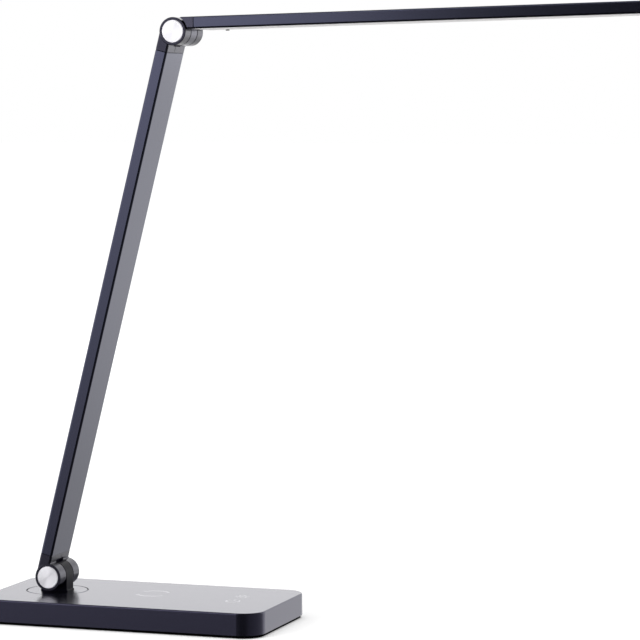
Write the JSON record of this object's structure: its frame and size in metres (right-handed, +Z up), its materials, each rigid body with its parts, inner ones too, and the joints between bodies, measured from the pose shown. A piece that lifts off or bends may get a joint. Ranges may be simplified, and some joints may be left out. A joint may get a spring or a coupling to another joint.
{
  "type": "led desk lamp",
  "caption": "Folding LED desk lamp: flat bar head and arm on barrel hinges, swivelling on a weighted rectangular base with a phone charging area and touch controls.",
  "frame": {"origin": "on the desk, under the middle of the base", "axes": "+Z up, +X along the base towards the head's tip, +Y across the base"},
  "size_m": [0.4707, 0.1026, 0.4134],
  "materials": {
    "satin_shell": "satin black, fine moulded texture",
    "black_plastic": "matt black, fine moulded texture",
    "strip_black": "dead matt black, moulded texture",
    "cast_bracket": "black powder coat",
    "black_anodised": "black anodised, fine satin",
    "spun_silver": "spun in circles, bright",
    "rubber_pad": "matt black, dimpled",
    "steel": "plain turned steel",
    "bearing_brass": "plain turned brass",
    "bearing_plastic": "natural white nylon",
    "circuit_board": "green board",
    "inlet_black": "black moulded socket",
    "carrier_grey": "grey moulded plastic",
    "ferrite": "dark pressed ferrite",
    "copper": "enamelled copper",
    "lead_jacket": "black insulated wire",
    "bare_aluminium": "plain rolled sheet",
    "white_film": "white film",
    "clear_acrylic": "clear acrylic",
    "frosted_white": "frosted white",
    "phosphor": "yellow phosphor"
  },
  "bodies": {
    "base": {"base_top_cover": "satin_shell", "base_bottom_cover": "strip_black", "base_screws": "steel", "non_slip_pad": "rubber_pad", "counterweight": "steel", "power_board": "circuit_board", "dc_inlet": "inlet_black", "coil_carrier": "carrier_grey", "ferrite_sheet": "ferrite", "charging_coil": "copper", "touch_pads": "copper", "touch_board": "circuit_board", "base_lead": "lead_jacket", "slip_washer": "bearing_plastic"},
    "swivel": {"turntable": "satin_shell", "turntable_screws": "steel", "hinge_bracket": "cast_bracket", "swivel_washer": "bearing_plastic", "swivel_spring": "steel", "swivel_nut": "steel", "swivel_lead": "lead_jacket", "lower_hinge_bush": "bearing_brass"},
    "arm": {"lower_hinge_pin": "steel", "lower_friction_washers": "bearing_plastic", "lower_spring_washers": "steel", "lower_hinge_nut": "steel", "lower_front_cap": "spun_silver", "lower_rear_cap": "spun_silver", "arm_lower_fork": "black_plastic", "arm_tube": "black_anodised", "arm_lead": "lead_jacket", "arm_upper_fork": "black_plastic", "upper_hinge_pin": "steel", "upper_friction_washers": "bearing_plastic", "upper_spring_washers": "steel", "upper_hinge_nut": "steel", "upper_front_cap": "spun_silver", "upper_rear_cap": "spun_silver"},
    "head": {"upper_hinge_bush": "bearing_brass", "head_block": "black_plastic", "head_housing": "black_anodised", "head_tip": "black_plastic", "heat_spreader": "bare_aluminium", "reflector_sheet": "white_film", "light_guide": "clear_acrylic", "diffuser": "frosted_white", "led_board": "white_film", "led_chips": "phosphor", "head_lead": "lead_jacket"}
  },
  "joints": [
    {"name": "base_swivel", "type": "hinge", "parent": "base", "child": "swivel", "pos_m": [-0.0627, 0, 0.017], "axis": [0, 0, 1], "range_deg": [-90, 90]},
    {"name": "arm_tilt", "type": "hinge", "parent": "swivel", "child": "arm", "pos_m": [-0.0627, 0, 0.0279], "axis": [0, 1, 0], "range_deg": [-59, 75.9]},
    {"name": "head_tilt", "type": "hinge", "parent": "arm", "child": "head", "pos_m": [0.02955, 0, 0.39653], "axis": [0, 1, 0], "range_deg": [-74.6, 105.3]}
  ]
}
